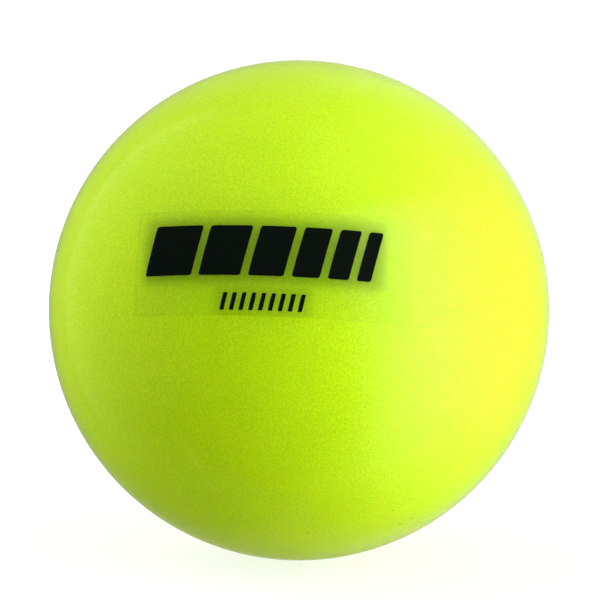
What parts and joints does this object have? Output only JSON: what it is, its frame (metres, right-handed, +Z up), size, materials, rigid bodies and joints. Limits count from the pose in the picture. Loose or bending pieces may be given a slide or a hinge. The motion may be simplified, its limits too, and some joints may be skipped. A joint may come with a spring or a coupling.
{
  "type": "field hockey ball",
  "caption": "Smooth round hockey ball in glossy yellow-green plastic, one seamless hollow moulding with a thick wall.",
  "frame": {"origin": "centre of the ball", "axes": "+Z up, through the point that the ball stands on; the side that faces -Y carries the print in the picture"},
  "size_m": [0.073, 0.073, 0.073],
  "materials": {
    "ball": "gloss",
    "print_ink": "satin"
  },
  "bodies": {
    "root": {"ball": "ball"}
  },
  "joints": []
}
